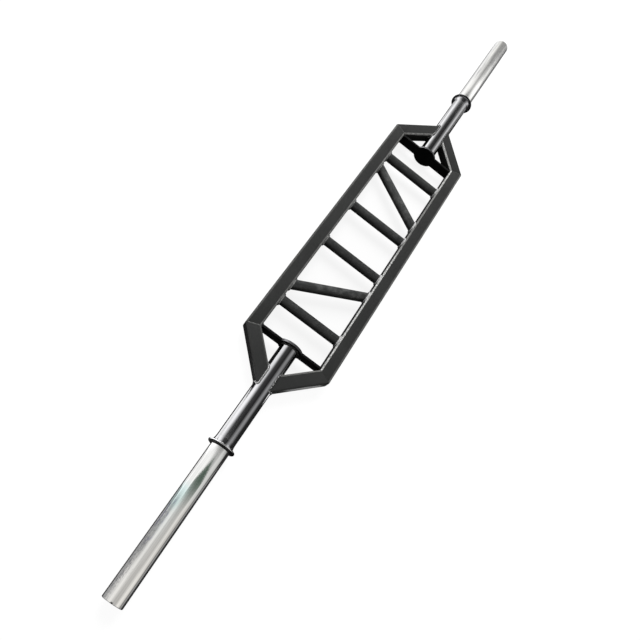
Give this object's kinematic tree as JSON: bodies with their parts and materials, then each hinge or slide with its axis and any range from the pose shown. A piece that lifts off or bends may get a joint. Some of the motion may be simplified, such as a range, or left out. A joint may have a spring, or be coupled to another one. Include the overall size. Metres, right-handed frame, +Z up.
{
  "type": "swiss bar",
  "caption": "Long weight-lifting bar with a welded ladder-shaped frame of square tube, straight and angled cross handles, stop collars and turning sleeves for weight plates.",
  "frame": {"origin": "on the surface that the bar lies on, under the middle of the bar", "axes": "+X along the bar from end a to end b, +Y to the left side rail, +Z up"},
  "size_m": [2.13, 0.258, 0.07],
  "materials": {
    "rail_paint": "matt black powder coat, faintly grained",
    "plate_paint": "satin black paint",
    "handle_paint": "satin black paint over knurled tube",
    "tube_gloss": "gloss black",
    "sleeve_chrome": "bright chrome with turning marks",
    "plain_steel": "machined",
    "bush_bronze": "machined bronze",
    "nylon": "matt moulded"
  },
  "bodies": {
    "frame": {"rail_left": "rail_paint", "rail_right": "rail_paint", "end_rail_a_left": "rail_paint", "end_rail_a_right": "rail_paint", "end_rail_b_left": "rail_paint", "end_rail_b_right": "rail_paint", "cross_plate_a": "plate_paint", "cross_plate_b": "plate_paint", "stub_tube_a": "tube_gloss", "stub_tube_b": "tube_gloss", "handle_outer_a": "handle_paint", "handle_outer_b": "handle_paint", "handle_angled_a": "handle_paint", "handle_angled_b": "handle_paint", "handle_inner_a": "handle_paint", "handle_inner_b": "handle_paint", "collar_a": "tube_gloss", "collar_b": "tube_gloss", "axle_a": "plain_steel", "axle_b": "plain_steel", "axle_ring_a": "plain_steel", "axle_ring_b": "plain_steel", "thrust_washer_a": "nylon", "thrust_washer_b": "nylon", "end_washer_a": "plain_steel", "end_washer_b": "plain_steel", "end_bolt_a": "plain_steel", "end_bolt_b": "plain_steel"},
    "sleeve_a": {"sleeve_a": "sleeve_chrome", "bush_inner_a": "bush_bronze", "bush_outer_a": "bush_bronze", "end_plug_a": "sleeve_chrome"},
    "sleeve_b": {"sleeve_b": "sleeve_chrome", "bush_inner_b": "bush_bronze", "bush_outer_b": "bush_bronze", "end_plug_b": "sleeve_chrome"}
  },
  "joints": [
    {"name": "sleeve_spin_a", "type": "hinge", "parent": "frame", "child": "sleeve_a", "pos_m": [-0.699, 0, 0.035], "axis": [1, 0, 0], "continuous": true},
    {"name": "sleeve_spin_b", "type": "hinge", "parent": "frame", "child": "sleeve_b", "pos_m": [0.699, 0, 0.035], "axis": [1, 0, 0], "continuous": true}
  ]
}
